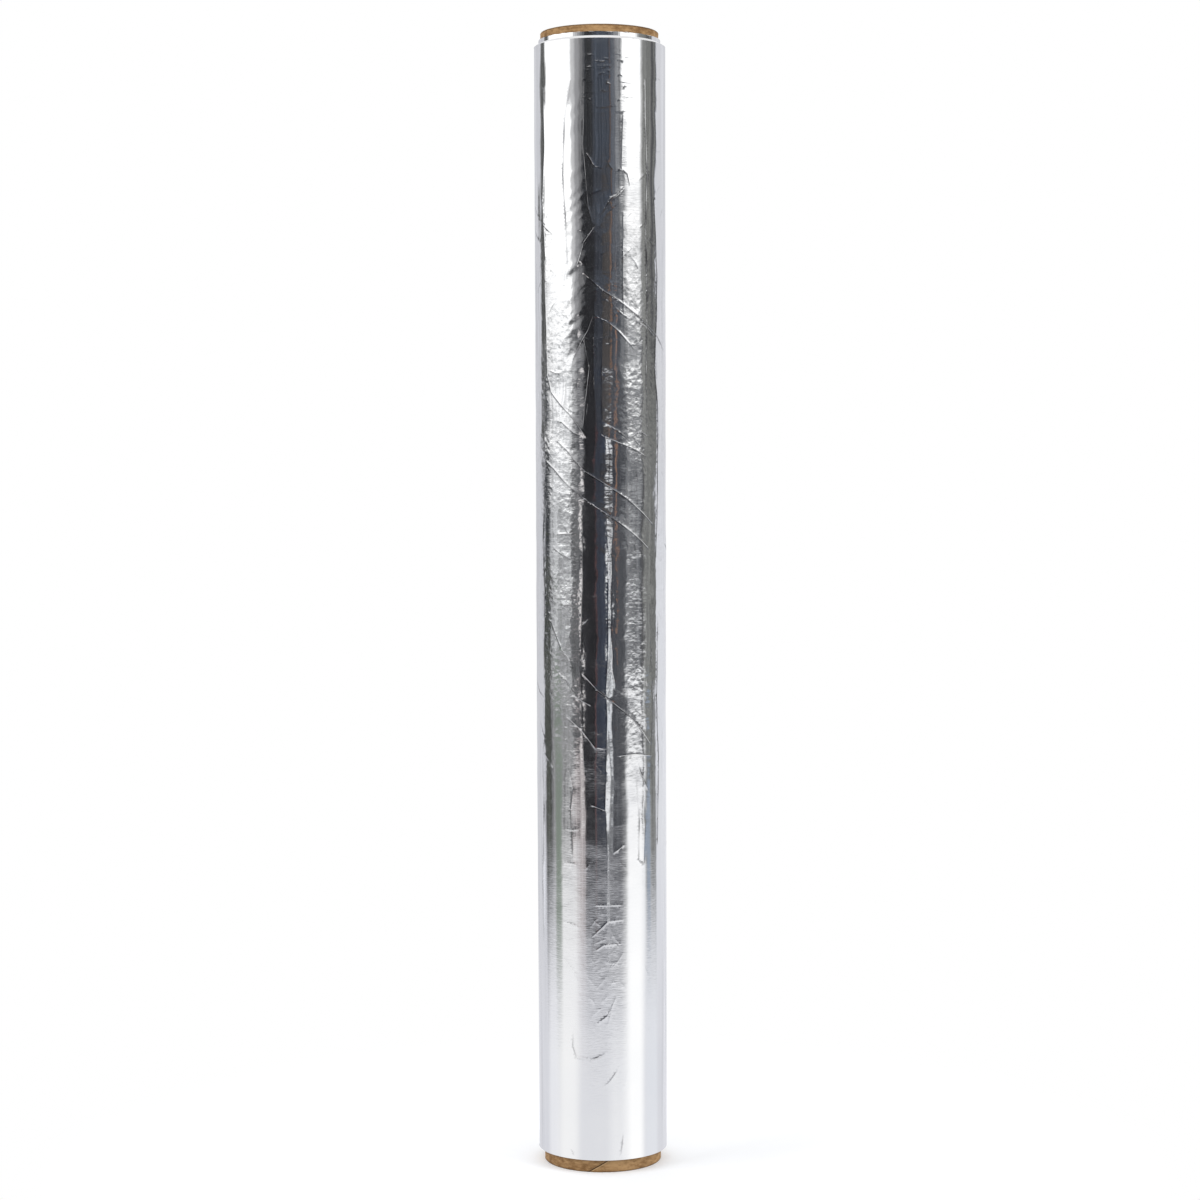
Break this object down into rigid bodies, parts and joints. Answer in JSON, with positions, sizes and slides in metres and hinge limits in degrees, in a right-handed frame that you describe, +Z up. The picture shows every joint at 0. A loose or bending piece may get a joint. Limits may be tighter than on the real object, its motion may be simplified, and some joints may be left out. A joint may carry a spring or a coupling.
{
  "type": "aluminium foil roll",
  "caption": "Upright household roll of aluminium foil, wound tight on a spiral-wound cardboard core that stands out at both ends.",
  "frame": {"origin": "middle of the core's lower cut end, where the roll stands", "axes": "+Z up along the roll's axis; -Y is the front that the picture shows; the free edge of the foil is at the back"},
  "size_m": [0.0356, 0.0357, 0.3076],
  "materials": {
    "cardboard": "matt brown spiral-wound paperboard",
    "foil": "bright rolled foil with light creases"
  },
  "bodies": {
    "root": {"cardboard_core": "cardboard", "foil_roll": "foil"}
  },
  "joints": []
}
